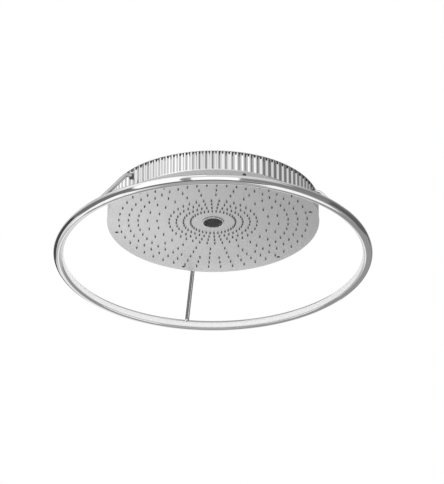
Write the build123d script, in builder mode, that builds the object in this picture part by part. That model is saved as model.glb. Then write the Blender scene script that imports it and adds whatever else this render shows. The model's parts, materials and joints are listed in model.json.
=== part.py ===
from build123d import *
import os
from math import cos, radians, sin, sqrt

# Rain shower head for a ceiling: a fluted drum between two round plates, a spray face with
# two zones of soft nozzles and a stream outlet in the middle, and a tube ring that hangs below
# the face on three bent arms and holds a light.  Lengths are in millimetres and angles in degrees.
# The origin is the middle of the face that meets the ceiling, and +Z points up.

# Drum
face_radius = 200.0
face_thickness = 2.0
drum_height = 41.0
ceiling_plate_thickness = 3.0
rim_thickness = 1.2
wall_thickness = 4.0

# Flutes of the drum's wall, with the shares of a pitch that ribs and grooves take
flute_count = 102
flute_depth = 2.5
rib_share = 0.23
groove_share = 0.31
flute_turn = -0.73
edge_lip = 0.5

# Long screws that hold the face, the wall and the ceiling plate together
screw_count = 6
screw_radius = 2.0
screw_head_radius = 3.75
screw_inset = 6.5
screw_turn = 7.5
screw_end_gap = 0.5

# Nozzles, in rings of an inner and an outer zone
inner_ring_radius = 42.5
inner_ring_spacing = 13.5
inner_ring_counts = (36, 36, 36, 36)
zone_gap = 22.5
outer_ring_counts = (24, 24, 48, 48, 48)
nozzle_margin = 3.5
nozzle_radius = 1.5
nozzle_length = 2.5
nozzle_sides = 6

# Stream outlet in the middle of the face
collar_radius = 20.75
collar_lip = 2.0
collar_wall = 1.6
collar_step = 1.2
collar_headroom = 3.0
collar_seal_thickness = 0.5
stream_tube_wall = 4.5
straightener_recess = 3.5
straightener_cell_radius = 2.9
straightener_cell_spacing = 6.6
straightener_rings = 2

# Water pan behind the face
pan_wall = 3.0
pan_roof = 3.0
pan_gap = 2.0
pan_screw_gap = 0.5

# Water inlets with a half-inch pipe thread
inlet_radius = 10.48
inlet_bore_radius = 7.5
inlet_stand = 14.0
inlet_shoulder = 0.7
inlet_flange_radius = 14.0
inlet_flange_height = 4.0
inlet_hole_gap = 0.5
inlet_seal_thickness = 1.5
rain_inlet_reach = 115.0
rain_inlet_angle = 270.0

# Holes for the screws into the ceiling
ceiling_hole_count = 4
ceiling_hole_radius = 3.25
ceiling_hole_reach = 150.0
ceiling_hole_turn = 45.0

# Arms of bent rod, from their blocks under the ceiling plate out through the wall
arm_count = 3
arm_angle = 90.0
arm_drop = 14.5
rod_radius = 4.0
elbow_reach = 10.0
elbow_bend_radius = 14.0
block_length = 22.0
block_width = 18.0
block_wall = 2.5
bush_wall = 2.4
bush_inset = 0.5

# Ring of round tube below the face
ring_reach = 89.5
ring_drop = 71.0
ring_tube_radius = 9.5

# Light along the inside of the ring: an opal strip flush with the tube, and a lamp tape behind it
light_dip = 15.0
light_spread = 70.0
opal_wall = 2.0
tape_width = 7.0
tape_thickness = 1.2
tape_setback = 1.8

# Clearances
slip_fit = 0.1
seat_gap = 0.2

# Levels, from the ceiling down
wall_top = -rim_thickness
plate_bottom = -ceiling_plate_thickness
face_bottom = -drum_height
face_top = face_bottom + face_thickness
arm_level = -arm_drop
block_bottom = arm_level - rod_radius - block_wall
pan_top = block_bottom - pan_gap
pan_roof_bottom = pan_top - pan_roof
ring_level = face_bottom - ring_drop

# Radii, from the rim inwards
rib_radius = face_radius - edge_lip
groove_radius = rib_radius - flute_depth
wall_inner_radius = groove_radius - wall_thickness
screw_reach = wall_inner_radius - screw_inset
pan_radius = screw_reach - screw_radius - pan_screw_gap
pan_inner_radius = pan_radius - pan_wall
bore_radius = rod_radius + slip_fit
bush_radius = bore_radius + bush_wall

# Rings of nozzles
inner_rings = [
    (inner_ring_radius + inner_ring_spacing * ring, count)
    for ring, count in enumerate(inner_ring_counts)
]
outer_first_radius = inner_rings[-1][0] + zone_gap
outer_last_radius = pan_inner_radius - nozzle_margin
outer_ring_spacing = (outer_last_radius - outer_first_radius) / (len(outer_ring_counts) - 1)
outer_rings = [
    (outer_first_radius + outer_ring_spacing * ring, count)
    for ring, count in enumerate(outer_ring_counts)
]
spray_angle = arm_angle + screw_turn

# Stream outlet
shank_radius = collar_radius - collar_step
collar_bore_radius = shank_radius - collar_wall
collar_bottom = face_bottom - collar_lip
collar_top = pan_roof_bottom - collar_headroom
stream_tube_bore = shank_radius + slip_fit
straightener_radius = collar_bore_radius - slip_fit
straightener_bottom = collar_bottom + straightener_recess
straightener_cells = [(0.0, 1)] + [
    (straightener_cell_spacing * ring, 6 * ring) for ring in range(1, straightener_rings + 1)
]

# Inlets
inlet_seat = pan_top + inlet_seal_thickness
inlet_body_radius = inlet_radius + inlet_shoulder
inlet_places = {
    "stream": (0.0, 0.0),
    "rain": (
        rain_inlet_reach * cos(radians(rain_inlet_angle)),
        rain_inlet_reach * sin(radians(rain_inlet_angle)),
    ),
}

# Arms and ring
arm_angles = [arm_angle + 360 / arm_count * number for number in range(arm_count)]
ring_radius = face_radius + ring_reach
elbow_radius = face_radius + elbow_reach
block_outer = sqrt((wall_inner_radius - seat_gap) ** 2 - (block_width / 2) ** 2)
block_inner = block_outer - block_length


def radial_plane(angle):
    """Upright plane through the axis: its x runs outwards and its y runs up."""
    turn = radians(angle)
    return Plane(origin=(0, 0, 0), x_dir=(cos(turn), sin(turn), 0), z_dir=(sin(turn), -cos(turn), 0))


def facing_plane(angle, reach, level):
    """Upright plane at a distance from the axis, facing outwards, with its y up."""
    turn = radians(angle)
    return Plane(
        origin=(reach * cos(turn), reach * sin(turn), level),
        x_dir=(-sin(turn), cos(turn), 0),
        z_dir=(cos(turn), sin(turn), 0),
    )


os.makedirs("parts", exist_ok=True)

# Ceiling plate: a disc inside the wall with a thin rim over it, its fixing holes, two ways for the
# inlets and six tapped holes
with BuildPart() as ceiling_plate:
    with BuildSketch(Plane.XY.offset(wall_top)):
        Circle(face_radius)
    extrude(amount=rim_thickness)
    with BuildSketch(Plane.XY.offset(plate_bottom)):
        Circle(wall_inner_radius - slip_fit)
    extrude(amount=ceiling_plate_thickness)
    with BuildSketch(Plane.XY.offset(plate_bottom)):
        with PolarLocations(ceiling_hole_reach, ceiling_hole_count, start_angle=ceiling_hole_turn):
            Circle(ceiling_hole_radius)
        with PolarLocations(screw_reach, screw_count, start_angle=spray_angle):
            Circle(screw_radius + slip_fit)
        with Locations(*inlet_places.values()):
            Circle(inlet_body_radius + inlet_hole_gap)
    extrude(amount=ceiling_plate_thickness, mode=Mode.SUBTRACT)
ceiling_plate.part.label = "ceiling_plate"
export_step(ceiling_plate.part, "parts/ceiling_plate.step")

# Fluted wall: a ring of ribs and grooves with sloping flanks, and three holes for the arms
pitch = 360 / flute_count
flute_corners = (
    (-rib_share / 2, rib_radius),
    (rib_share / 2, rib_radius),
    (0.5 - groove_share / 2, groove_radius),
    (0.5 + groove_share / 2, groove_radius),
)
flute_points = [
    (
        radius * cos(radians(arm_angle + flute_turn + (flute + share) * pitch)),
        radius * sin(radians(arm_angle + flute_turn + (flute + share) * pitch)),
    )
    for flute in range(flute_count)
    for share, radius in flute_corners
]
with BuildPart() as fluted_wall:
    with BuildSketch(Plane.XY.offset(face_top)):
        with BuildLine():
            Polyline(*flute_points, close=True)
        make_face()
        Circle(wall_inner_radius, mode=Mode.SUBTRACT)
    extrude(amount=wall_top - face_top)
    for angle in arm_angles:
        with BuildSketch(facing_plane(angle, block_inner, arm_level)):
            Circle(bush_radius + slip_fit)
        extrude(amount=face_radius - block_inner, mode=Mode.SUBTRACT)
fluted_wall.part.label = "fluted_wall"
export_step(fluted_wall.part, "parts/fluted_wall.step")

# Face plate: the disc that the water leaves through, with countersunk holes at its rim
with BuildPart() as face_plate:
    with BuildSketch(Plane.XY.offset(face_bottom)):
        Circle(face_radius)
        Circle(stream_tube_bore, mode=Mode.SUBTRACT)
    extrude(amount=face_thickness)
    with Locations((0, 0, face_bottom)):
        with PolarLocations(screw_reach, screw_count, start_angle=spray_angle):
            Cone(
                bottom_radius=screw_head_radius + slip_fit,
                top_radius=screw_radius + slip_fit,
                height=face_thickness,
                align=(Align.CENTER, Align.CENTER, Align.MIN),
                mode=Mode.SUBTRACT,
            )
face_plate.part.label = "face_plate"
export_step(face_plate.part, "parts/face_plate.step")

# Face screws: flush heads in the face, with shanks up to the ceiling plate
with BuildPart() as face_screws:
    with BuildSketch(Plane.XZ) as screw_section:
        with BuildLine():
            Polyline(
                (0, face_bottom),
                (screw_head_radius, face_bottom),
                (screw_radius, face_top),
                (screw_radius, -screw_end_gap),
                (0, -screw_end_gap),
                close=True,
            )
        make_face()
    screw = revolve(axis=Axis.Z, mode=Mode.PRIVATE)
    with PolarLocations(screw_reach, screw_count, start_angle=spray_angle):
        add(screw)
face_screws.part.label = "face_screws"
export_step(face_screws.part, "parts/face_screws.step")

# Nozzles: soft tips that stand out of the face, in two zones
for zone, rings in (("inner_nozzles", inner_rings), ("outer_nozzles", outer_rings)):
    with BuildPart() as nozzles:
        with BuildSketch(Plane.XY.offset(face_bottom)):
            for radius, count in rings:
                with PolarLocations(radius, count, start_angle=spray_angle):
                    RegularPolygon(nozzle_radius, nozzle_sides)
        extrude(amount=-nozzle_length)
    nozzles.part.label = zone
    export_step(nozzles.part, f"parts/{zone}.step")

# Water pan: a shallow dish turned over and joined to the back of the face
with BuildPart() as water_pan:
    with BuildSketch(Plane.XY.offset(face_top)):
        Circle(pan_radius)
    extrude(amount=pan_top - face_top)
    with BuildSketch(Plane.XY.offset(face_top)):
        Circle(pan_inner_radius)
    extrude(amount=pan_roof_bottom - face_top, mode=Mode.SUBTRACT)
    with BuildSketch(Plane.XY.offset(pan_roof_bottom)):
        with Locations(*inlet_places.values()):
            Circle(inlet_bore_radius)
    extrude(amount=pan_roof, mode=Mode.SUBTRACT)
water_pan.part.label = "water_pan"
export_step(water_pan.part, "parts/water_pan.step")

# Stream tube: keeps the water of the middle outlet apart from the rain
with BuildPart() as stream_tube:
    with BuildSketch(Plane.XY.offset(face_top)):
        Circle(stream_tube_bore + stream_tube_wall)
        Circle(stream_tube_bore, mode=Mode.SUBTRACT)
    extrude(amount=pan_roof_bottom - face_top)
stream_tube.part.label = "stream_tube"
export_step(stream_tube.part, "parts/stream_tube.step")

# Outlet collar: a turned ring with a lip under the face and a shank up into the stream tube
with BuildPart() as outlet_collar:
    with BuildSketch(Plane.XZ):
        with BuildLine():
            Polyline(
                (collar_bore_radius, collar_bottom),
                (collar_radius, collar_bottom),
                (collar_radius, face_bottom - collar_seal_thickness),
                (shank_radius, face_bottom - collar_seal_thickness),
                (shank_radius, collar_top),
                (collar_bore_radius, collar_top),
                close=True,
            )
        make_face()
    revolve(axis=Axis.Z)
outlet_collar.part.label = "outlet_collar"
export_step(outlet_collar.part, "parts/outlet_collar.step")

# Collar seal: a flat washer between the lip and the face
with BuildPart() as collar_seal:
    with BuildSketch(Plane.XY.offset(face_bottom - collar_seal_thickness)):
        Circle(collar_radius - slip_fit)
        Circle(shank_radius + slip_fit, mode=Mode.SUBTRACT)
    extrude(amount=collar_seal_thickness)
collar_seal.part.label = "collar_seal"
export_step(collar_seal.part, "parts/collar_seal.step")

# Flow straightener: a plug of six-sided cells that makes the stream run clear
with BuildPart() as flow_straightener:
    with BuildSketch(Plane.XY.offset(straightener_bottom)):
        Circle(straightener_radius)
        for radius, count in straightener_cells:
            with PolarLocations(radius, count):
                RegularPolygon(straightener_cell_radius, 6, mode=Mode.SUBTRACT)
    extrude(amount=collar_top - straightener_bottom)
flow_straightener.part.label = "flow_straightener"
export_step(flow_straightener.part, "parts/flow_straightener.step")

# Inlets: flanged pipe ends on the pan, each on a flat washer, with a shoulder level with the
# ceiling plate and the threaded end above it
for name, place in inlet_places.items():
    with BuildPart() as inlet:
        with BuildSketch(Plane.XY.offset(inlet_seat)):
            with Locations(place):
                Circle(inlet_flange_radius)
        extrude(amount=inlet_flange_height)
        with BuildSketch(Plane.XY.offset(inlet_seat)):
            with Locations(place):
                Circle(inlet_body_radius)
        extrude(amount=-inlet_seat)
        with BuildSketch(Plane.XY):
            with Locations(place):
                Circle(inlet_radius)
        extrude(amount=inlet_stand)
        with BuildSketch(Plane.XY.offset(inlet_seat)):
            with Locations(place):
                Circle(inlet_bore_radius)
        extrude(amount=inlet_stand - inlet_seat, mode=Mode.SUBTRACT)
    inlet.part.label = f"{name}_inlet"
    export_step(inlet.part, f"parts/{name}_inlet.step")

    with BuildPart() as inlet_seal:
        with BuildSketch(Plane.XY.offset(pan_top)):
            with Locations(place):
                Circle(inlet_flange_radius)
                Circle(inlet_bore_radius, mode=Mode.SUBTRACT)
        extrude(amount=inlet_seal_thickness)
    inlet_seal.part.label = f"{name}_inlet_seal"
    export_step(inlet_seal.part, f"parts/{name}_inlet_seal.step")

# Arms: a level stub through the wall, a bend, and a straight run down and out to the ring,
# where the end is hollowed to sit on the tube
for number, angle in enumerate(arm_angles, 1):
    with BuildPart() as arm:
        with BuildLine(radial_plane(angle)) as arm_line:
            FilletPolyline(
                (block_inner, arm_level),
                (elbow_radius, arm_level),
                (ring_radius, ring_level),
                radius=elbow_bend_radius,
            )
        with BuildSketch(facing_plane(angle, block_inner, arm_level)):
            Circle(rod_radius)
        sweep(path=arm_line.line)
        with BuildSketch(Plane.XZ):
            with Locations((ring_radius, ring_level)):
                Circle(ring_tube_radius + slip_fit)
        revolve(axis=Axis.Z, mode=Mode.SUBTRACT)
    arm.part.label = f"arm_{number}"
    export_step(arm.part, f"parts/arm_{number}.step")

    with BuildPart() as arm_block:
        with BuildSketch(facing_plane(angle, block_inner, (plate_bottom + block_bottom) / 2)):
            Rectangle(block_width, plate_bottom - block_bottom)
        extrude(amount=block_length)
        with BuildSketch(facing_plane(angle, block_inner, arm_level)):
            Circle(bore_radius)
        extrude(amount=block_length, mode=Mode.SUBTRACT)
    arm_block.part.label = f"arm_block_{number}"
    export_step(arm_block.part, f"parts/arm_block_{number}.step")

# Arm bushes: soft sleeves that fill the wall's holes around the arms
with BuildPart() as arm_bushes:
    for angle in arm_angles:
        with BuildSketch(facing_plane(angle, wall_inner_radius, arm_level)):
            Circle(bush_radius)
            Circle(bore_radius, mode=Mode.SUBTRACT)
        extrude(amount=rib_radius - bush_inset - wall_inner_radius)
arm_bushes.part.label = "arm_bushes"
export_step(arm_bushes.part, "parts/arm_bushes.step")

# Ring: one closed hoop of round tube, with a channel for the light along its inside
tube_place = Location((ring_radius, ring_level, 0), (0, 0, 180 + light_dip))
half_spread = radians(light_spread / 2)
light_floor = ring_tube_radius - opal_wall
tape_front = light_floor - tape_setback
tape_back = tape_front - tape_thickness


def light_wedge(clearance):
    """Corners of the wedge that the light takes out of the tube's round, widened by a clearance."""
    tip = -clearance / sin(half_spread)
    reach = 2 * ring_tube_radius
    return (
        (tip, 0),
        (tip + reach * cos(half_spread), -reach * sin(half_spread)),
        (tip + reach * cos(half_spread), reach * sin(half_spread)),
    )


with BuildPart() as ring:
    with BuildSketch(Plane.XZ, mode=Mode.PRIVATE) as channel:
        with Locations(tube_place):
            Polygon(*light_wedge(slip_fit), align=None)
            Circle(light_floor - slip_fit, mode=Mode.SUBTRACT)
            with Locations((tape_back, 0)):
                Rectangle(
                    light_floor - tape_back,
                    tape_width + 2 * slip_fit,
                    align=(Align.MIN, Align.CENTER),
                )
    with BuildSketch(Plane.XZ):
        with Locations((ring_radius, ring_level)):
            Circle(ring_tube_radius)
        add(channel.sketch, mode=Mode.SUBTRACT)
    revolve(axis=Axis.Z)
ring.part.label = "ring"
export_step(ring.part, "parts/ring.step")

# Light opal: the pale strip that the light shines through
with BuildPart() as light_opal:
    with BuildSketch(Plane.XZ):
        with Locations(tube_place):
            Polygon(*light_wedge(0), align=None)
            Circle(ring_tube_radius, mode=Mode.INTERSECT)
            Circle(light_floor, mode=Mode.SUBTRACT)
    revolve(axis=Axis.Z)
light_opal.part.label = "light_opal"
export_step(light_opal.part, "parts/light_opal.step")

# Light tape: the flat strip of small lamps on the channel's floor
with BuildPart() as light_tape:
    with BuildSketch(Plane.XZ):
        with Locations(tube_place):
            with Locations((tape_back, 0)):
                Rectangle(tape_thickness, tape_width, align=(Align.MIN, Align.CENTER))
    revolve(axis=Axis.Z)
light_tape.part.label = "light_tape"
export_step(light_tape.part, "parts/light_tape.step")
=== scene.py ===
# %% [markdown]
# # A rain shower head, dressed for its picture
#
# The imported model gives every piece its place and its size, in metres, with the middle of the
# ceiling face at the origin and Z up.  This lesson keeps that frame, makes a finer mesh for each
# piece that shows, and gives every piece a finish.

# %% Load the frame
import json
from math import acos, cos, degrees, pi, radians, sin, sqrt, tan, tau

import bmesh
import bpy
from mathutils import Matrix, Vector


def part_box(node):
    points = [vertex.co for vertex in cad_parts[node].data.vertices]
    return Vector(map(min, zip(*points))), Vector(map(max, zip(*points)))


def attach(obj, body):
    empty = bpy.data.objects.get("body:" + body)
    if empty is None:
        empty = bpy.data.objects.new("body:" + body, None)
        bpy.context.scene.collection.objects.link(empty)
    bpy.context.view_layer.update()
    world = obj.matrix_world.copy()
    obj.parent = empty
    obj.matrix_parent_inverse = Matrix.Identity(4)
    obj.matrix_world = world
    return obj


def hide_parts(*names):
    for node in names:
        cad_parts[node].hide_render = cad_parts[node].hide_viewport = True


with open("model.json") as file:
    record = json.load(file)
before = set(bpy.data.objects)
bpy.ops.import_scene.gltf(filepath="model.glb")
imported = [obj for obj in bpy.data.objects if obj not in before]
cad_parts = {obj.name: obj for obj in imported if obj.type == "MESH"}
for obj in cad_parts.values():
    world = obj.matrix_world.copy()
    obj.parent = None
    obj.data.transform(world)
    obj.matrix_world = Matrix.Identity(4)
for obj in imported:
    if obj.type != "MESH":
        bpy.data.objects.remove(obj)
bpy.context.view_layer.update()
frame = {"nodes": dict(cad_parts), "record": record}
nodes = frame["nodes"]
mm = 0.001

# %% [markdown]
# ## Camera
#
# The picture was taken from below with a long lens, so the near and far sides of the face are
# almost the same size.  The viewing angle, the distance and the lens were worked out from the
# rings of nozzles, which are true circles.  The camera stands on the line through the middle of
# the face, and a small shift puts the object where it sits in the picture.


# %% Place the camera
def put_in_scene(name, data):
    """A new object in the scene."""
    thing = bpy.data.objects.new(name, data)
    bpy.context.scene.collection.objects.link(thing)
    return thing


def direction(turn, climb):
    """A vector of length 1, from a turn about Z and a climb above the level."""
    return Vector((cos(turn) * cos(climb), sin(turn) * cos(climb), sin(climb)))


face_middle = Vector((0, 0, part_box("face_plate")[0].z))
view_turn = radians(79.7)
view_climb = radians(28.85)
view_distance = 6.336
look = direction(view_turn, view_climb)
side = Vector((sin(view_turn), -cos(view_turn), 0))
upright = side.cross(look)

lens = bpy.data.cameras.new("camera")
lens.lens = 250.15
lens.sensor_width = 36
lens.shift_x = 0.0184
lens.shift_y = -0.0408
lens.clip_end = 60
camera = put_in_scene("camera", lens)
camera.matrix_world = Matrix.Translation(face_middle - look * view_distance) @ Matrix(
    (side, upright, -look)
).transposed().to_4x4()
bpy.context.scene.camera = camera
bpy.context.scene.view_settings.view_transform = "Standard"
print("camera at", [round(value, 3) for value in camera.location])

# %% [markdown]
# ## Finishes
#
# A finish could be one plain colour, but then it would look like a drawing.  Polishing, moulding
# and handling leave small changes on the real pieces, so each finish here is a small node tree:
# noise in the object's own space varies the roughness or the colour a little.  Values that are
# the same all over the surface are set straight on the shader.


# %% Helpers for finishes
def finish_base(name, colour, metallic, roughness):
    """A new material, its shader and its node tree."""
    material = bpy.data.materials.new(name)
    material.use_nodes = True
    tree = material.node_tree
    shader = tree.nodes["Principled BSDF"]
    shader.inputs["Base Color"].default_value = (*colour, 1)
    shader.inputs["Metallic"].default_value = metallic
    shader.inputs["Roughness"].default_value = roughness
    return material, shader, tree


def noise_range(tree, scale, detail, low, high):
    """Noise in object space, mapped to a range of values."""
    place = tree.nodes.new("ShaderNodeTexCoord")
    noise = tree.nodes.new("ShaderNodeTexNoise")
    noise.inputs["Scale"].default_value = scale
    noise.inputs["Detail"].default_value = detail
    spread = tree.nodes.new("ShaderNodeMapRange")
    spread.inputs["From Min"].default_value = 0.3
    spread.inputs["From Max"].default_value = 0.7
    spread.inputs["To Min"].default_value = low
    spread.inputs["To Max"].default_value = high
    tree.links.new(place.outputs["Object"], noise.inputs["Vector"])
    tree.links.new(noise.outputs["Fac"], spread.inputs["Value"])
    return spread.outputs["Result"]


def vary_roughness(tree, shader, scale, detail, low, high):
    """Lets the roughness wander between two values."""
    tree.links.new(noise_range(tree, scale, detail, low, high), shader.inputs["Roughness"])


def vary_colour(tree, shader, scale, detail, dark, light):
    """Lets the colour wander between two colours."""
    mix = tree.nodes.new("ShaderNodeMix")
    mix.data_type = "RGBA"
    mix.inputs["A"].default_value = (*dark, 1)
    mix.inputs["B"].default_value = (*light, 1)
    tree.links.new(noise_range(tree, scale, detail, 0.0, 1.0), mix.inputs["Factor"])
    tree.links.new(mix.outputs["Result"], shader.inputs["Base Color"])


def grey(tone):
    """A colour without a hue."""
    return tone, tone, tone


# %% [markdown]
# ## Metals
#
# The wall, the ring and the arms are polished chrome, which shows what stands around it.  The
# face is satin steel: its grain is far finer than a pixel, so a bump would be lost, and roughness
# spreads the reflection into the same even grey.  The steel inside is duller, and the inlets are
# machined brass, whose colour changes a little with its tool marks.

# %% Chrome, satin, plain steel and brass
chrome, shader, tree = finish_base("polished_chrome", (0.64, 0.64, 0.645), metallic=1, roughness=0.08)
vary_roughness(tree, shader, scale=60, detail=3, low=0.06, high=0.1)

satin, shader, tree = finish_base("satin_face", grey(0.69), metallic=1, roughness=0.36)
vary_colour(tree, shader, scale=700, detail=2, dark=grey(0.684), light=grey(0.696))
vary_roughness(tree, shader, scale=60, detail=3, low=0.34, high=0.38)

steel, shader, tree = finish_base("plain_steel", (0.52, 0.52, 0.53), metallic=1, roughness=0.3)
vary_roughness(tree, shader, scale=300, detail=3, low=0.22, high=0.4)

brass, shader, tree = finish_base("machined_brass", (0.72, 0.54, 0.26), metallic=1, roughness=0.25)
vary_colour(tree, shader, scale=160, detail=4, dark=(0.62, 0.45, 0.20), light=(0.76, 0.58, 0.30))
vary_roughness(tree, shader, scale=500, detail=3, low=0.18, high=0.36)
print("metals:", chrome.name, satin.name, steel.name, brass.name)

# %% [markdown]
# ## Rubbers and dark plastic
#
# The nozzles, the bushes and the seals are soft grey silicone, the plug is black rubber, and the
# teeth behind the notches in the wall are black; the honeycomb in the outlet is moulded plastic.
# They mirror little, so cloudy colour and uneven roughness are what tells them from paint.

# %% Silicone, rubber and plastic
silicone, shader, tree = finish_base("nozzle_silicone", (0.11, 0.11, 0.115), metallic=0, roughness=0.5)
vary_colour(tree, shader, scale=420, detail=2, dark=(0.09, 0.09, 0.095), light=(0.14, 0.14, 0.145))
vary_roughness(tree, shader, scale=800, detail=2, low=0.42, high=0.6)

# The same black finish is painted into the screws' sockets as shade.
black_rubber_and_socket_shade, shader, tree = finish_base("black_rubber_and_socket_shade", grey(0.02), metallic=0, roughness=0.6)
vary_colour(tree, shader, scale=500, detail=2, dark=grey(0.014), light=grey(0.026))
vary_roughness(tree, shader, scale=800, detail=2, low=0.5, high=0.7)

plastic, shader, tree = finish_base("dark_plastic", (0.1, 0.1, 0.105), metallic=0, roughness=0.45)
vary_roughness(tree, shader, scale=700, detail=2, low=0.38, high=0.55)
print("rubbers and plastic:", silicone.name, black_rubber_and_socket_shade.name, plastic.name)

# %% [markdown]
# ## Opal of the light
#
# The cover of the light is frosted plastic that glows faintly.  An even glow would look flat, so
# shade is painted into its colour: a ramp over the height darkens it along both edges, where the
# tube would shade it, and a second mapping lets the glow follow that painted shade.

# %% Opal plastic
opal, shader, tree = finish_base("opal_plastic", (0.88, 0.88, 0.875), metallic=0, roughness=0.45)
opal_low, opal_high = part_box("light_opal")
opal_middle = (opal_low.z + opal_high.z) / 2
painted_shade_reach = 5.3 * mm
place = tree.nodes.new("ShaderNodeTexCoord")
split = tree.nodes.new("ShaderNodeSeparateXYZ")
height = tree.nodes.new("ShaderNodeMapRange")
height.inputs["From Min"].default_value = opal_middle - painted_shade_reach
height.inputs["From Max"].default_value = opal_middle + painted_shade_reach
# Painted shade: the ramp darkens the cover's colour towards its lower and upper edges.
fade = tree.nodes.new("ShaderNodeValToRGB")
fade.color_ramp.interpolation = "B_SPLINE"
fade.color_ramp.elements[0].color = (0.4, 0.4, 0.4, 1)
fade.color_ramp.elements[1].color = (0.6, 0.6, 0.595, 1)
for share, tone in ((0.07, 0.8), (0.2, 0.96), (0.72, 0.96), (0.92, 0.93)):
    fade.color_ramp.elements.new(share).color = (tone, tone, tone * 0.995, 1)
# The glow follows the ramp, so it carries the painted shade too.
glow = tree.nodes.new("ShaderNodeMapRange")
glow.inputs["From Min"].default_value = 0.6
glow.inputs["From Max"].default_value = 0.95
glow.inputs["To Max"].default_value = 0.1
tree.links.new(place.outputs["Object"], split.inputs["Vector"])
tree.links.new(split.outputs["Z"], height.inputs["Value"])
tree.links.new(height.outputs["Result"], fade.inputs["Fac"])
tree.links.new(fade.outputs["Color"], shader.inputs["Base Color"])
tree.links.new(fade.outputs["Color"], glow.inputs["Value"])
tree.links.new(glow.outputs["Result"], shader.inputs["Emission Strength"])
shader.inputs["Emission Color"].default_value = (1, 1, 1, 1)
vary_roughness(tree, shader, scale=300, detail=2, low=0.38, high=0.5)

finish_of = {
    "chrome": chrome,
    "satin_steel": satin,
    "plain_steel": steel,
    "silicone": silicone,
    "dark_plastic": plastic,
    "brass": brass,
    "opal": opal,
}
print("finishes for", len(finish_of), "slots, with", opal.name, "last")

# %% [markdown]
# ## Helpers for pieces
#
# Almost every piece here is turned, drawn or cut from sheet, so a few helpers make most of the
# meshes.  One spins a profile into a turned piece.  One cuts a round sheet with openings from a
# filled 2-D curve, which Blender thickens and rounds at the edges.  One hands a mesh over to the
# frame: it rides on the one body, stands for a node and takes that node's finish.


# %% Hand a piece over to the frame
slot_of = {row["node"]: row["material_slot"] for row in frame["record"]["subparts"]}


def add_piece(mesh, name, slot, finish=None, crease=35):
    """Links a mesh as a piece of the object, with the finish of a slot or one of its own."""
    piece = put_in_scene(name, mesh)
    mesh.polygons.foreach_set("use_smooth", [True] * len(mesh.polygons))
    mesh.set_sharp_from_angle(angle=radians(crease))
    mesh.materials.clear()
    mesh.materials.append(finish or finish_of[slot])
    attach(piece, "root")
    print(name, "with", len(mesh.polygons), "faces")
    return piece


def hand_over(mesh, name, *stands_for, crease=35):
    """Adds a piece in place of the nodes that it stands for."""
    piece = add_piece(mesh, name, slot_of[stands_for[0]], crease=crease)
    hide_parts(*stands_for)
    return piece


# %% Meshes from corners and from drawn objects
def turn_outwards(mesh, join=None):
    """Turns the faces of a mesh outwards, after joining corners closer than a distance."""
    form = bmesh.new()
    form.from_mesh(mesh)
    if join:
        bmesh.ops.remove_doubles(form, verts=form.verts, dist=join)
    bmesh.ops.recalc_face_normals(form, faces=form.faces)
    form.to_mesh(mesh)
    form.free()
    return mesh


def mesh_from(name, corners, faces):
    """A mesh with its faces turned outwards."""
    mesh = bpy.data.meshes.new(name)
    mesh.from_pydata(corners, [], faces)
    return turn_outwards(mesh)


def final_mesh(drawn):
    """The mesh that a curve or a cut piece comes out as.  The drawn object is taken away."""
    bpy.context.view_layer.update()
    evaluated = drawn.evaluated_get(bpy.context.evaluated_depsgraph_get())
    mesh = bpy.data.meshes.new_from_object(evaluated)
    bpy.data.objects.remove(drawn)
    return mesh


# %% Turned pieces
def turned(profile, segments, places, sides=(), closed=False):
    """Spins a profile of (radius, height) about each place.  A zero radius at an end closes it, and
    closed joins the last point to the first.  Points numbered in sides get six straight sides."""
    corners = []
    faces = []
    for place in places:
        rings = []
        for number, (radius, height) in enumerate(profile):
            if radius == 0:
                rings.append([len(corners)])
                corners.append(place @ Vector((0, 0, height)))
                continue
            ring = []
            for k in range(segments):
                angle = tau * k / segments
                reach = radius
                if number in sides:
                    reach = radius * cos(pi / 6) / cos((angle % (pi / 3)) - pi / 6)
                ring.append(len(corners))
                corners.append(place @ Vector((reach * cos(angle), reach * sin(angle), height)))
            rings.append(ring)
        for low, high in zip(rings, rings[1:] + rings[:1] if closed else rings[1:]):
            for k in range(segments):
                a = low[k % len(low)]
                b = low[(k + 1) % len(low)]
                c = high[(k + 1) % len(high)]
                d = high[k % len(high)]
                faces.append([v for i, v in enumerate((a, b, c, d)) if v not in (a, b, c, d)[:i]])
    return corners, faces


def at(x, y, z=0.0, turn=0.0):
    """A place in the frame, from millimetres."""
    spot = Matrix.Translation((x * mm, y * mm, z * mm))
    return spot @ Matrix.Rotation(turn, 4, "Z") @ Matrix.Scale(mm, 4)


# %% Sheet pieces
def cut_sheet(name, outlines, low, high, edge):
    """A flat piece between two heights: the first outline is its rim and the others are openings."""
    line = bpy.data.curves.new(name, "CURVE")
    line.dimensions = "2D"
    line.fill_mode = "BOTH"
    line.extrude = (high - low) / 2 - edge
    line.bevel_depth = edge
    line.bevel_resolution = 2
    line.offset = -edge
    for outline in outlines:
        spline = line.splines.new("POLY")
        spline.points.add(len(outline) - 1)
        for point, (x, y) in zip(spline.points, outline):
            point.co = (x, y, 0, 1)
        spline.use_cyclic_u = True
    mesh = final_mesh(put_in_scene(name, line))
    mesh.transform(Matrix.Translation((0, 0, (low + high) / 2)))
    return turn_outwards(mesh, join=1e-7)


def round_outline(radius, corners, x=0.0, y=0.0, turn=0.0):
    """Points of a circle or a regular polygon, in metres."""
    return [
        (x + radius * cos(turn + tau * k / corners), y + radius * sin(turn + tau * k / corners))
        for k in range(corners)
    ]


def polar(reach, count, start):
    """Evenly spaced points on a circle, with their angles."""
    for k in range(count):
        angle = radians(start) + tau * k / count
        yield reach * cos(angle), reach * sin(angle), angle


# %% [markdown]
# ## Ring and its light
#
# The ring is one bent tube, closed and polished, with an opal strip let into its inside for a
# light.  Chrome shows every flat spot as a broken reflection, so the section has many points and
# is spun in many steps.  The tube and the strip are two parts of the same circle, with a fine joint
# between them.  Their size comes from the node's box.

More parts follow.
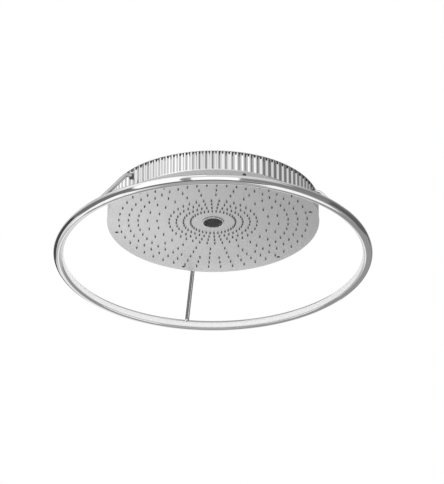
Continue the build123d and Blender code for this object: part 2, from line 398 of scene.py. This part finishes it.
# %% Make the ring
ring_low, ring_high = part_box("ring")
tube = (ring_high.z - ring_low.z) / 2
ring_radius = ring_high.x - tube
ring_level = (ring_high.z + ring_low.z) / 2
ring_steps = 400
tube_outside, channel_back = 9.5, 7.4
opal_outside, opal_back = 9.45, 7.5
opal_from, opal_to = 160.0, 230.0
joint = 0.6


def ring_section(*runs):
    """Points of the tube's section from (radius from, radius to, angle from, angle to, steps)."""
    points = []
    for start, end, first, last, steps in runs:
        for k in range(steps + 1):
            share = k / steps
            angle = radians(first + (last - first) * share)
            reach = start + (end - start) * share
            points.append((ring_radius / mm + reach * cos(angle), ring_level / mm + reach * sin(angle)))
    return points


def spin_section(name, section, node):
    """Spins a closed section round the axis and hands the piece over."""
    corners, faces = turned(section, ring_steps, [at(0, 0)], closed=True)
    return hand_over(mesh_from(name, corners, faces), name, node, crease=30)


low_edge, high_edge = opal_to + joint, opal_from + 360 - joint
spin_section(
    "tube_ring",
    ring_section(
        (channel_back, 9.3, low_edge, low_edge, 1),
        (9.42, tube_outside, low_edge + 0.5, low_edge + 1.6, 2),
        (tube_outside, tube_outside, low_edge + 3, high_edge - 3, 66),
        (tube_outside, 9.42, high_edge - 1.6, high_edge - 0.5, 2),
        (9.3, channel_back, high_edge, high_edge, 1),
        (channel_back, channel_back, high_edge + 8, low_edge + 360 - 8, 6),
    ),
    "ring",
)

# %% Make the opal strip
spin_section(
    "opal_strip",
    ring_section(
        (opal_back, 9.2, opal_to, opal_to, 1),
        (9.38, opal_outside, opal_to - 0.6, opal_to - 2, 2),
        (opal_outside, opal_outside, opal_to - 4, opal_from + 4, 14),
        (opal_outside, 9.38, opal_from + 2, opal_from + 0.6, 2),
        (9.2, opal_back, opal_from, opal_from, 1),
        (opal_back, opal_back, opal_from + 10, opal_to - 10, 6),
    ),
    "light_opal",
)

# %% [markdown]
# ## Plug on the ring
#
# A small dark dome sits on top of the ring, opposite the first arm.  It closes the opening that the
# light's cable would be threaded through.  A squashed ball would do from afar, but a turned profile
# gives the straight side of a real plug, and it is sunk a little into the tube.

# %% Make the plug
plug_turn = radians(270.9)
plug_profile = [(0, -1.0), (3.8, -1.0), (3.75, 1.6), (3.4, 3.0), (2.5, 4.2), (1.3, 4.8), (0, 5.0)]
plug_reach = ring_radius / mm
plug_place = at(plug_reach * cos(plug_turn), plug_reach * sin(plug_turn), ring_high.z / mm)
corners, faces = turned(plug_profile, segments=40, places=[plug_place])
add_piece(mesh_from("ring_plug", corners, faces), "ring_plug", "silicone", black_rubber_and_socket_shade, crease=40)

# %% [markdown]
# ## Arms
#
# Each arm is a rod bent once.  A curve with a round bevel is the plain way to make it: the points
# give the run, and each point's radius widens the last millimetres into the braze that joins the
# rod to the ring.  Spare points beside the bend and the braze keep the straight run's shading true.

# %% Run of an arm
arm_turns = [radians(90 + 120 * k) for k in range(3)]
arm_level = -14.5 * mm
rod = 4.0 * mm
arm_inner = 170.7 * mm
elbow = 210.0 * mm
bend, bend_steps = 14.0 * mm, 20
after_bend = 2 * mm
run = Vector((ring_radius - elbow, ring_level - arm_level)).normalized()
bend_angle = acos(run.x)
bend_start = elbow - bend * tan(bend_angle / 2)
bend_end = Vector((bend_start + bend * sin(bend_angle), arm_level - bend + bend * cos(bend_angle)))
braze = [(15.0, 1.0), (12.6, 1.0), (10.6, 1.06), (9.9, 1.16), (9.2, 1.32), (8.6, 1.5), (6.5, 1.5)]


def arm_points():
    """Points of one arm in its upright plane, with the share of the rod's radius at each.  The
    braze is given by how far its points stop short of the middle of the ring's tube."""
    yield arm_inner, arm_level, 1.0
    for k in range(bend_steps + 1):
        turn = bend_angle * k / bend_steps
        yield bend_start + bend * sin(turn), arm_level - bend + bend * cos(turn), 1.0
    yield bend_end.x + run.x * after_bend, bend_end.y + run.y * after_bend, 1.0
    for short, share in braze:
        yield ring_radius - run.x * short * mm, ring_level - run.y * short * mm, share


print("arms leave the wall level and then drop at", round(degrees(bend_angle), 1), "degrees")

# %% Make the arms
for number, turn in enumerate(arm_turns, 1):
    points = list(arm_points())
    line = bpy.data.curves.new("bent_arm", "CURVE")
    line.dimensions = "3D"
    line.bevel_depth = rod
    line.bevel_resolution = 14
    line.use_fill_caps = True
    spline = line.splines.new("POLY")
    spline.points.add(len(points) - 1)
    for point, (reach, height, share) in zip(spline.points, points):
        point.co = (reach * cos(turn), reach * sin(turn), height, 1)
        point.radius = share
    mesh = final_mesh(put_in_scene("bent_arm", line))
    hand_over(mesh, f"bent_arm_{number}", f"arm_{number}", crease=50)

# %% [markdown]
# ## Fluted wall
#
# The wall is a drawn strip with 102 upright flutes.  Its outline is worked out from one flute with
# softly rounded ribs and grooves, and swept straight up with a small round at both edges.  A spare
# row next to each round keeps the shading of the flat part true, or the mirror would bend there.
# At the top, each flank has a notch, and the three holes for the arms are cut with a boolean, as
# a drill would.

# %% Outline of a flute
wall_low, wall_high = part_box("fluted_wall")
rib, groove, inner = 199.5 * mm, 197.0 * mm, 193.0 * mm
flutes, flute_steps = 102, 28
strips = flutes * flute_steps
first_rib = radians(89.27)
flank_foot, flank_width = 0.40, 0.34
notch_from, notch_to = 0.16, 0.34
notch = 4.6 * mm
lip, lip_curve = 0.35 * mm, 0.3


def clamp(value):
    """A value held between 0 and 1."""
    return min(max(value, 0), 1)


def flute_reach(share):
    """Radius of the outside at a share of one flute, from the middle of a rib."""
    off = abs(share - round(share))
    rise = clamp((flank_foot - off) / flank_width)
    return groove + (rib - groove) * rise * rise * (3 - 2 * rise)


def notched(k):
    """Whether a strip of the wall lies in one of the two notches of its flute."""
    off = abs((k + 0.5) / flute_steps % 1 - 0.5)
    return notch_from < off < notch_to


def edge_point(k, reach, height):
    """A point on the edge where a strip of the wall starts."""
    angle = first_rib + tau * k / strips
    return reach * cos(angle), reach * sin(angle), height


print("wall of", strips, "strips,", sum(map(notched, range(strips))), "of them notched")

# %% Make the wall
rows = [
    (wall_low.z, None),
    (wall_low.z, lip),
    (wall_low.z + lip * lip_curve, lip * lip_curve),
    (wall_low.z + lip, 0),
    (wall_low.z + lip * 2, 0),
    (wall_high.z - notch, 0),
    (wall_high.z - lip * 2, 0),
    (wall_high.z - lip, 0),
    (wall_high.z - lip * lip_curve, lip * lip_curve),
    (wall_high.z, lip),
    (wall_high.z, None),
    (wall_high.z - notch, None),
]
notch_row, last_row = 5, len(rows) - 1
corners = [
    edge_point(k, inner if inset is None else flute_reach(k / flute_steps) - inset, height)
    for height, inset in rows
    for k in range(strips)
]


def strip_face(k, low, high):
    """The face of one strip of the wall between two rows."""
    after = (k + 1) % strips
    return (low * strips + k, low * strips + after, high * strips + after, high * strips + k)


faces = []
for k in range(strips):
    faces += [strip_face(k, row, row + 1) for row in range(notch_row)]
    faces.append(strip_face(k, last_row, 0))
    if notched(k):
        faces.append(strip_face(k, notch_row, last_row))
    else:
        faces += [strip_face(k, row, row + 1) for row in range(notch_row, last_row)]
    if notched(k) != notched(k - 1):
        faces.append([row * strips + k for row in range(notch_row, last_row + 1)])
blank_mesh = mesh_from("fluted_wall_sheet", corners, faces)
print("wall before drilling:", len(blank_mesh.polygons), "faces")


# %% Drill the wall
def along_arms(reach):
    """Places on the lines of the three arms, a distance from the axis, with Z outwards."""
    return [
        Matrix.Rotation(turn, 4, "Z")
        @ Matrix.Translation((reach, 0, arm_level))
        @ Matrix.Rotation(pi / 2, 4, "Y")
        @ Matrix.Scale(mm, 4)
        for turn in arm_turns
    ]


drill_profile = [(0, -10), (6.6, -10), (6.6, 10), (0, 10)]
corners, faces = turned(drill_profile, segments=48, places=along_arms(groove))
drill = put_in_scene("drill", mesh_from("drill", corners, faces))
blank = put_in_scene("blank", blank_mesh)
cut = blank.modifiers.new("holes", "BOOLEAN")
cut.object = drill
cut.solver = "EXACT"
wall_mesh = final_mesh(blank)
bpy.data.objects.remove(drill)
hand_over(wall_mesh, "fluted_wall_sheet", "fluted_wall", crease=40)

# %% [markdown]
# ## Black teeth behind the notches
#
# Black teeth fill the notches from inside, and show as two dark marks at the top of every rib.
# A plain ring behind the wall would leave the notches hollow.  Each tooth follows the flank that
# it stands in, a tenth of a millimetre back from it, so it is built from the wall's own outline.

# %% Make the black teeth
tooth_back = 0.1 * mm
corners = []
faces = []
for k in range(strips):
    if not notched(k):
        continue
    opens, closes = not notched(k - 1), not notched(k + 1)
    for column in (k, k + 1) if opens else (k + 1,):
        outside = flute_reach(column / flute_steps) - tooth_back
        corners += [
            edge_point(column, outside, wall_high.z - notch),
            edge_point(column, outside, wall_high.z),
            edge_point(column, inner, wall_high.z),
            edge_point(column, inner, wall_high.z - notch),
        ]
    end = len(corners) - 4
    faces += [(end - 4 + i, end - 4 + (i + 1) % 4, end + (i + 1) % 4, end + i) for i in range(4)]
    if opens:
        faces.append(range(end - 4, end))
    if closes:
        faces.append(range(end, end + 4))
add_piece(mesh_from("black_notch_teeth", corners, faces), "black_notch_teeth", "silicone", black_rubber_and_socket_shade, crease=40)

# %% [markdown]
# ## Plates
#
# The face and the ceiling plate are laser-cut discs.  The face has a hole for each nozzle and
# screw and a wide one in the middle; the ceiling plate has the screw holes and two ways for the
# inlets.  Booleans would be slow with so many holes, and a filled curve takes all of these
# openings in one go.

# %% Make the face plate
spray_start = 97.5
inner_rings = [(42.5 + 13.5 * k, 36) for k in range(4)]
outer_rings = [(105.5 + 18.0 * k, around) for k, around in enumerate((24, 24, 48, 48, 48))]
screw_places = list(polar(186.5, count=6, start=spray_start))
rim_corners, hole_corners, nozzle_sides = 360, 32, 14
nozzle_hole, screw_hole, outlet_hole = 1.5 * mm, 3.85 * mm, 19.65 * mm
face_edge = 0.12 * mm
face_low, face_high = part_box("face_plate")
outlines = [round_outline(face_high.x, rim_corners), round_outline(outlet_hole, corners=96)]
outlines += [round_outline(screw_hole, hole_corners, x * mm, y * mm) for x, y, angle in screw_places]
outlines += [
    round_outline(nozzle_hole, nozzle_sides, x * mm, y * mm, angle)
    for reach, around in inner_rings + outer_rings
    for x, y, angle in polar(reach, around, spray_start)
]
face_mesh = cut_sheet("spray_face", outlines, face_low.z, face_high.z, face_edge)
hand_over(face_mesh, "spray_face", "face_plate", crease=8)

# %% Make the ceiling plate
plate_low, plate_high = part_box("ceiling_plate")
ceiling_screws = polar(150, count=4, start=45)
inlets = {"stream_inlet": 0.0, "rain_inlet": -115.0}
ceiling_hole, tapped_hole, inlet_hole = 3.25 * mm, 2.1 * mm, 11.68 * mm
tapped_corners, inlet_corners = 24, 64
step_radius, plate_edge = 192.9 * mm, 0.2 * mm
openings = [round_outline(ceiling_hole, hole_corners, x * mm, y * mm) for x, y, angle in ceiling_screws]
openings += [round_outline(tapped_hole, tapped_corners, x * mm, y * mm) for x, y, angle in screw_places]
openings += [round_outline(inlet_hole, inlet_corners, 0, y * mm) for y in inlets.values()]
rim_outlines = [round_outline(plate_high.x, rim_corners)] + openings
step_outlines = [round_outline(step_radius, rim_corners)] + openings
rim = cut_sheet("ceiling_disc", rim_outlines, wall_high.z, plate_high.z, plate_edge)
step = cut_sheet("step", step_outlines, plate_low.z, wall_high.z, plate_edge)
form = bmesh.new()
form.from_mesh(rim)
form.from_mesh(step)
form.to_mesh(rim)
form.free()
hand_over(rim, "ceiling_disc", "ceiling_plate", crease=8)

# %% [markdown]
# ## Nozzles and screws
#
# Each nozzle is a soft plug pushed through its hole, with a taper, a rounded end and a fine bore.
# The screws are flush heads with a six-sided socket, whose faces take the black finish as painted
# shade for the dark of the deep recess.  Copies of one object would do too, but one mesh for a zone
# stays one piece, so both are turned profiles, set out on the holes' circles.

# %% Make the nozzles
nozzle_profile = [
    (0, 2.0),
    (1.42, 2.0),
    (1.42, -0.1),
    (1.40, -0.9),
    (1.26, -2.1),
    (1.14, -2.38),
    (0.92, -2.5),
    (0.66, -2.46),
    (0.56, -2.25),
    (0.52, -0.9),
    (0, -0.9),
]
for zone, rings in (("inner_nozzles", inner_rings), ("outer_nozzles", outer_rings)):
    places = [
        at(x, y, face_low.z / mm, angle)
        for reach, around in rings
        for x, y, angle in polar(reach, around, spray_start)
    ]
    corners, faces = turned(nozzle_profile, nozzle_sides, places)
    hand_over(mesh_from(zone, corners, faces), f"soft_{zone}", zone, crease=45)

# %% Make the screws
screw_profile = [
    (0, 38.0),
    (1.9, 38.0),
    (2.0, 37.7),
    (2.0, 2.0),
    (3.5, 0.25),
    (3.6, 0.08),
    (3.5, 0.0),
    (3.1, 0.0),
    (2.95, 0.12),
    (2.5, 0.9),
    (0, 1.0),
]
screw_segments, socket_start, bands = 36, 7, len(screw_profile) - 1
places = [at(x, y, face_low.z / mm, angle) for x, y, angle in screw_places]
corners, faces = turned(screw_profile, screw_segments, places, sides=range(socket_start, bands))
screws = hand_over(mesh_from("flush_screws", corners, faces), "flush_screws", "face_screws", crease=40)
# Painted shade: the faces of each socket take the black finish, for the dark of the deep recess.
screws.data.materials.append(black_rubber_and_socket_shade)
for k, face in enumerate(screws.data.polygons):
    face.material_index = int(k // screw_segments % bands >= socket_start)

# %% [markdown]
# ## Middle outlet
#
# A turned collar stands a little below the face, and a dark honeycomb sits back inside it and
# straightens the stream.  The collar is a profile with rounded lips.  The honeycomb could be many
# small tubes, but it is moulded in one, so it is a disc with six-sided cells cut out.

# %% Make the collar
collar_profile = [
    (17.95, -29.0),
    (17.95, -42.2),
    (18.15, -42.7),
    (18.6, -42.95),
    (19.4, -43.0),
    (20.2, -42.9),
    (20.6, -42.6),
    (20.75, -42.1),
    (20.75, -41.5),
    (19.55, -41.5),
    (19.55, -29.0),
]
corners, faces = turned(collar_profile, segments=128, places=[at(0, 0)], closed=True)
collar_mesh = mesh_from("outlet_collar_ring", corners, faces)
hand_over(collar_mesh, "outlet_collar_ring", "outlet_collar", crease=40)

# %% Make the honeycomb
comb_radius, comb_rim = 17.85, 0.6
comb_edge = 0.08 * mm
cell, cell_wall = 1.05, 0.32
cell_pitch = cell * sqrt(3) + cell_wall
cell_rows = range(-12, 13)
outlines = [round_outline(comb_radius * mm, corners=128)]
for row in cell_rows:
    for column in cell_rows:
        x = (column + row / 2) * cell_pitch
        y = row * cell_pitch * sqrt(3) / 2
        if sqrt(x * x + y * y) < comb_radius - cell - comb_rim:
            outlines.append(round_outline(cell * mm, 6, x * mm, y * mm, pi / 6))
comb_low, comb_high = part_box("flow_straightener")
comb_mesh = cut_sheet("honeycomb", outlines, comb_low.z, comb_high.z, comb_edge)
hand_over(comb_mesh, "honeycomb", "flow_straightener", crease=8)

# %% [markdown]
# ## Inlets
#
# The inlets are turned brass with a real pipe thread above the ceiling plate.  A thread is a
# helix, so a spun profile can't make it: the radius of each point depends on its height and its
# angle together.  The thread runs out softly at both ends.

# %% Shape of the thread
thread_radius, thread_run = 10.48, 14.0
thread_pitch, thread_depth = 1.814, 1.16
thread_rows, thread_segments = 110, 64
root_flat, flank_share = 0.12, 0.76
plain_end, run_in, run_out = 0.6, 1.2, 1.0
plain_depth = 0.55
end_gap = 0.02


def thread_reach(height, angle):
    """Outside radius of the threaded end at a height above the ceiling, in millimetres."""
    phase = (height / thread_pitch - angle / tau) % 1
    ridge = clamp((1 - abs(2 * phase - 1) - root_flat) / flank_share)
    fade = clamp((height - plain_end) / run_in) * clamp((thread_run - height) / run_out)
    depth = thread_depth * (plain_depth + (1 - plain_depth) * fade)
    return thread_radius - depth * (1 - ridge * fade)


print("thread of", round(thread_run / thread_pitch, 1), "turns")

# %% Make the inlets
inlet_foot = [
    (7.5, -21.5),
    (13.7, -21.5),
    (14.0, -21.2),
    (14.0, -17.8),
    (13.7, -17.5),
    (11.18, -17.5),
    (11.18, -0.2),
    (11.0, 0.0),
]
inlet_mouth = [(8.0, 14.0), (7.5, 13.5)]
thread_angles = [tau * k / thread_segments for k in range(thread_segments)]
rings = [[point] * thread_segments for point in inlet_foot]
for row in range(thread_rows + 1):
    height = end_gap + (thread_run - 2 * end_gap) * row / thread_rows
    rings.append([(thread_reach(height, angle), height) for angle in thread_angles])
rings += [[point] * thread_segments for point in inlet_mouth]


def ring_corner(row, k):
    """The number of a corner, counted round and round."""
    return row % len(rings) * thread_segments + k % thread_segments


for name, y in inlets.items():
    corners = [
        at(0, y) @ Vector((reach * cos(angle), reach * sin(angle), height))
        for ring in rings
        for angle, (reach, height) in zip(thread_angles, ring)
    ]
    faces = [
        [ring_corner(row + up, k + on) for up, on in ((0, 0), (0, 1), (1, 1), (1, 0))]
        for row in range(len(rings))
        for k in range(thread_segments)
    ]
    hand_over(mesh_from(name, corners, faces), f"threaded_{name}", name, crease=35)

# %% [markdown]
# ## Bushes
#
# The bushes are short soft sleeves that line the holes in the wall, so that the rods don't rattle.
# A thick tube would do, but its rounded outer lip is what shows, so it is a closed turned profile.

# %% Make the bushes
bush_profile = [
    (4.1, 0.0),
    (6.5, 0.0),
    (6.5, 5.6),
    (6.35, 5.9),
    (6.0, 6.0),
    (4.7, 6.0),
    (4.3, 5.85),
    (4.1, 5.5),
]
corners, faces = turned(bush_profile, segments=48, places=along_arms(inner), closed=True)
hand_over(mesh_from("soft_bushes", corners, faces), "soft_bushes", "arm_bushes", crease=40)

# %% [markdown]
# ## Pieces that stay as they are
#
# The pan, the tube, the seals, the blocks and the lamp tape are inside.  They could be made again
# as finer meshes, but nothing shows of them and their solids already have the right shape, so they
# only get their finishes.

# %% Finish the inner pieces
for name, node in nodes.items():
    if not node.hide_render:
        node.data.materials.clear()
        node.data.materials.append(finish_of[slot_of[name]])
        print("kept", name)

# %% [markdown]
# ## Studio
#
# The object hangs in a white room, over a pale floor that is far below, because the camera looks up
# from under the object.  More lamps would make the background white, and the object too bright with
# it.  So the room and the floor are a little brighter to the camera and to mirrors than as light.


# %% White room
def shown_or_mirrored(tree):
    """1 for what the camera, a mirror or clear glass sees, and 0 for the light on the object."""
    path = tree.nodes.new("ShaderNodeLightPath")
    result = path.outputs["Is Camera Ray"]
    for ray in ("Is Glossy Ray", "Is Transmission Ray"):
        larger = tree.nodes.new("ShaderNodeMath")
        larger.operation = "MAXIMUM"
        tree.links.new(result, larger.inputs[0])
        tree.links.new(path.outputs[ray], larger.inputs[1])
        result = larger.outputs["Value"]
    return result


def strength_by_ray(tree, socket, lighting, shown):
    """Sets a strength by what a ray is for."""
    level = tree.nodes.new("ShaderNodeMapRange")
    level.inputs["To Min"].default_value = lighting
    level.inputs["To Max"].default_value = shown
    tree.links.new(shown_or_mirrored(tree), level.inputs["Value"])
    tree.links.new(level.outputs["Result"], socket)


world = bpy.data.worlds.new("white_room")
bpy.context.scene.world = world
world.use_nodes = True
background = world.node_tree.nodes["Background"]
background.inputs["Color"].default_value = (1, 1, 1, 1)
strength_by_ray(world.node_tree, background.inputs["Strength"], lighting=0.95, shown=1.0)
print("room:", world.name)

# %% Pale floor
floor_level, floor_reach = -7.2, 30
floor_mesh = bpy.data.meshes.new("floor")
floor_mesh.from_pydata(
    [(x * floor_reach, y * floor_reach, floor_level) for x, y in ((-1, -1), (1, -1), (1, 1), (-1, 1))],
    [],
    [(0, 1, 2, 3)],
)
floor = put_in_scene("floor", floor_mesh)
pale, shader, tree = finish_base("pale_floor", grey(0.85), metallic=0, roughness=0.8)
shader.inputs["Emission Color"].default_value = (1, 1, 1, 1)
strength_by_ray(tree, shader.inputs["Emission Strength"], lighting=0.0, shown=0.22)
floor_mesh.materials.append(pale)
print("floor", -floor_level, "m below the ceiling")

# %% [markdown]
# ## Cards
#
# Chrome is only as good as what it mirrors, and in a white room alone it would vanish.  Lamps would
# only add bright spots, so the room gets cards, as a photographer's studio has: windows in front,
# dark cards to both sides for the dark lines, and grey ones low down for the face.  Cards light
# nothing: only mirrors show them.  Two stand near the object, so that they shade part of the face.


# %% Hang a card
def hang_card(name, corners, faces, level):
    """Lights a card that only mirrors show."""
    mesh = bpy.data.meshes.new(name)
    mesh.from_pydata(corners, [], faces)
    glow, shader, tree = finish_base(name, grey(0), metallic=0, roughness=1)
    shader.inputs["Specular IOR Level"].default_value = 0
    shader.inputs["Emission Color"].default_value = (1, 1, 1, 1)
    shader.inputs["Emission Strength"].default_value = level
    mesh.materials.append(glow)
    card = put_in_scene(name, mesh)
    card.visible_camera = False
    card.visible_diffuse = False
    card.visible_shadow = False


card_distance = 2.6
card_columns, card_rows = 16, 8


def studio_card(name, left, right, low, high, level):
    """A curved card round the object, between two azimuths and two elevations as the camera sees
    them: 0 is straight away from it, and right is positive."""
    corners = []
    for row in range(card_rows + 1):
        climb = radians(low + (high - low) * row / card_rows)
        for column in range(card_columns + 1):
            turn = view_turn - radians(left + (right - left) * column / card_columns)
            corners.append(direction(turn, climb) * card_distance + face_middle)
    across = card_columns + 1
    starts = [row * across + column for row in range(card_rows) for column in range(card_columns)]
    faces = [(k, k + 1, k + across + 1, k + across) for k in starts]
    hang_card(name, corners, faces, level)


# %% Cards round the object
# Name, azimuth from and to, elevation from and to in degrees, and brightness.
cards = (
    ("window_front", 163, 194, -34, 16, 1.6),
    ("window_left", 201, 232, -30, 44, 1.6),
    ("bright_upper_left", 186, 285, 44, 70, 1.4),
    ("pale_upper_left", 232, 250, 20, 44, 1.2),
    ("grey_upper_left", 250, 290, 18, 44, 0.75),
    ("dark_left", 233, 285, -34, 18, 0.24),
    ("black_left", 285, 328, -18, 20, 0.09),
    ("black_far_left", 328, 345, -8, 24, 0.09),
    ("bright_lower_left", 250, 318, -64, -34, 1.45),
    ("dark_gap", 194, 201, -36, 15, 0.35),
    ("grey_high_right", 55, 125, 40, 58, 0.5),
    ("dark_upper_right", 45, 90, 18, 40, 0.28),
    ("grey_upper_right", 90, 125, 18, 40, 0.28),
    ("pale_upper_right", 125, 152, 18, 40, 0.76),
    ("black_right", 45, 98, -28, 18, 0.16),
    ("dark_far_right", 15, 45, -14, 16, 0.3),
    ("dark_right", 98, 163, -32, 18, 0.32),
    ("grey_lower_right", 40, 140, -44, -28, 0.5),
    ("bright_lower_right", 42, 135, -72, -44, 1.45),
    ("dark_front_below", 135, 250, -57, -36, 0.2),
    ("grey_front_below", 135, 250, -72, -57, 0.6),
    ("grey_below", -180, 180, -90, -72, 0.55),
    ("grey_away_left", -50, -15, -72, -44, 0.5),
    ("grey_away_right", -15, 42, -72, -44, 0.72),
    ("pale_away", -19, -3, -44, -14, 1.25),
    ("grey_away_low", -40, -19, -44, -14, 0.72),
    ("grey_away_low_right", -3, 40, -44, -14, 0.66),
    ("grey_top", -180, 180, 78, 90, 0.5),
    ("grey_high_away", -60, 50, 44, 78, 0.5),
)
for name, *reach, level in cards:
    studio_card(name, *reach, level)
print(len(cards), "cards", card_distance, "m from the face")

# %% Near cards
near_distance = 0.8
near_middle = face_middle + direction(view_turn, 0) * near_distance
# Name, corners as (metres to the right, metres up) and brightness.
near_cards = (
    ("grey_near_right", ((0.47, -0.11), (1.3, -0.11), (1.3, -1.4), (-1.11, -1.4)), 0.42),
    ("pale_near_left", ((-0.6, -0.11), (0.26, -0.11), (0.06, -0.34), (-0.6, -0.34)), 1.1),
)
for name, outline, level in near_cards:
    corners = [near_middle + side * across + Vector((0, 0, height)) for across, height in outline]
    hang_card(name, corners, [(0, 1, 2, 3)], level)
print(len(near_cards), "cards", near_distance, "m from the face")
